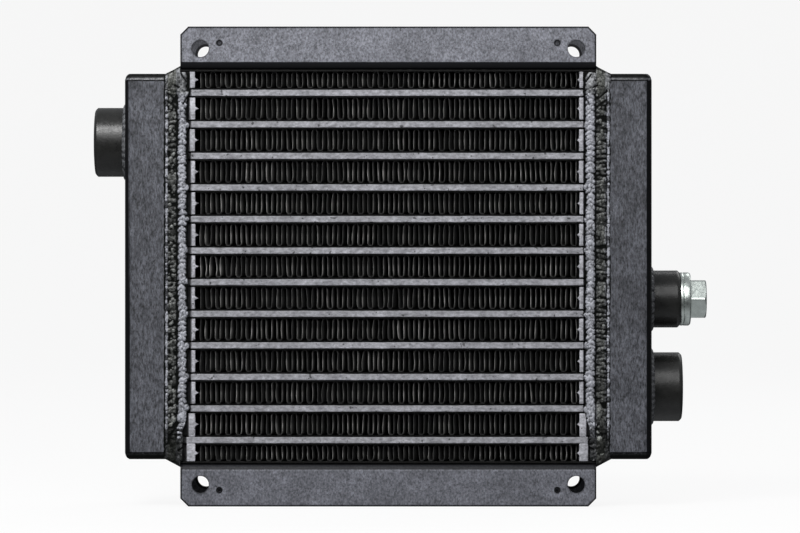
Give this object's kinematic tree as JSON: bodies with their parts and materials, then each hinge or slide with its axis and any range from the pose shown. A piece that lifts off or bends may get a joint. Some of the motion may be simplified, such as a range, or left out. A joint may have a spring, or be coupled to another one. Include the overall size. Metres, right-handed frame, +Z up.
{
  "type": "hydraulic oil cooler",
  "caption": "Bar-and-plate hydraulic oil cooler with welded side tanks, U-channel mounting brackets, threaded oil ports and a plugged sensor port.",
  "frame": {"origin": "centre of the four rear mounting holes, on the rear face of the bracket flanges", "axes": "+Z up, +X towards the tank with the outlet and the plugged port, front face towards -Y"},
  "size_m": [0.3095, 0.066, 0.24],
  "materials": {
    "bracket_paint": "satin black paint on folded aluminium sheet",
    "plate_paint": "satin black paint on aluminium sheet",
    "bar_paint": "thin satin black paint on aluminium bar, rubbed light on the faces",
    "tank_paint": "satin black paint with light orange peel on aluminium",
    "boss_paint": "gloss black paint on turned aluminium",
    "weld_paint": "satin black paint over rippled weld bead",
    "fin_paint": "matt black paint on thin aluminium fin sheet",
    "raw_aluminium": "bare brazed aluminium",
    "zinc_plate": "bright zinc plated steel",
    "seal_rubber": "matt black nitrile rubber"
  },
  "bodies": {
    "cooler": {"bracket_top": "bracket_paint", "bracket_bottom": "bracket_paint", "side_plate_top": "plate_paint", "side_plate_bottom": "plate_paint", "parting_sheets": "plate_paint", "air_bars_left": "bar_paint", "air_bars_right": "bar_paint", "oil_bars_01": "bar_paint", "oil_bars_02": "bar_paint", "oil_bars_03": "bar_paint", "oil_bars_04": "bar_paint", "oil_bars_05": "bar_paint", "oil_bars_06": "bar_paint", "oil_bars_07": "bar_paint", "oil_bars_08": "bar_paint", "oil_bars_09": "bar_paint", "oil_bars_10": "bar_paint", "oil_bars_11": "bar_paint", "oil_bars_12": "bar_paint", "tank_left": "tank_paint", "tank_right": "tank_paint", "cap_left_top": "tank_paint", "cap_left_bottom": "tank_paint", "cap_right_top": "tank_paint", "cap_right_bottom": "tank_paint", "inlet_boss": "boss_paint", "outlet_boss": "boss_paint", "sensor_boss": "boss_paint", "weld_tank_left": "weld_paint", "weld_tank_right": "weld_paint", "weld_caps": "weld_paint", "weld_bosses": "weld_paint", "air_fin_01": "fin_paint", "air_fin_02": "fin_paint", "air_fin_03": "fin_paint", "air_fin_04": "fin_paint", "air_fin_05": "fin_paint", "air_fin_06": "fin_paint", "air_fin_07": "fin_paint", "air_fin_08": "fin_paint", "air_fin_09": "fin_paint", "air_fin_10": "fin_paint", "air_fin_11": "fin_paint", "air_fin_12": "fin_paint", "air_fin_13": "fin_paint", "turbulator_01": "raw_aluminium", "turbulator_02": "raw_aluminium", "turbulator_03": "raw_aluminium", "turbulator_04": "raw_aluminium", "turbulator_05": "raw_aluminium", "turbulator_06": "raw_aluminium", "turbulator_07": "raw_aluminium", "turbulator_08": "raw_aluminium", "turbulator_09": "raw_aluminium", "turbulator_10": "raw_aluminium", "turbulator_11": "raw_aluminium", "turbulator_12": "raw_aluminium"},
    "seal": {"seal_ring": "zinc_plate", "seal_lip": "seal_rubber"},
    "plug": {"screw_plug": "zinc_plate"}
  },
  "joints": [
    {"name": "plug_travel", "type": "slide", "parent": "cooler", "child": "seal", "axis": [1, 0, 0], "range_m": [0, 0.014]},
    {"name": "plug_turn", "type": "hinge", "parent": "seal", "child": "plug", "pos_m": [0.1494, -0.033, -0.0165], "axis": [1, 0, 0], "range_deg": [0, 3360]}
  ],
  "couplings": [
    {"joint": "plug_travel", "follows": "plug_turn", "m_per_rad": 0.00023873}
  ]
}
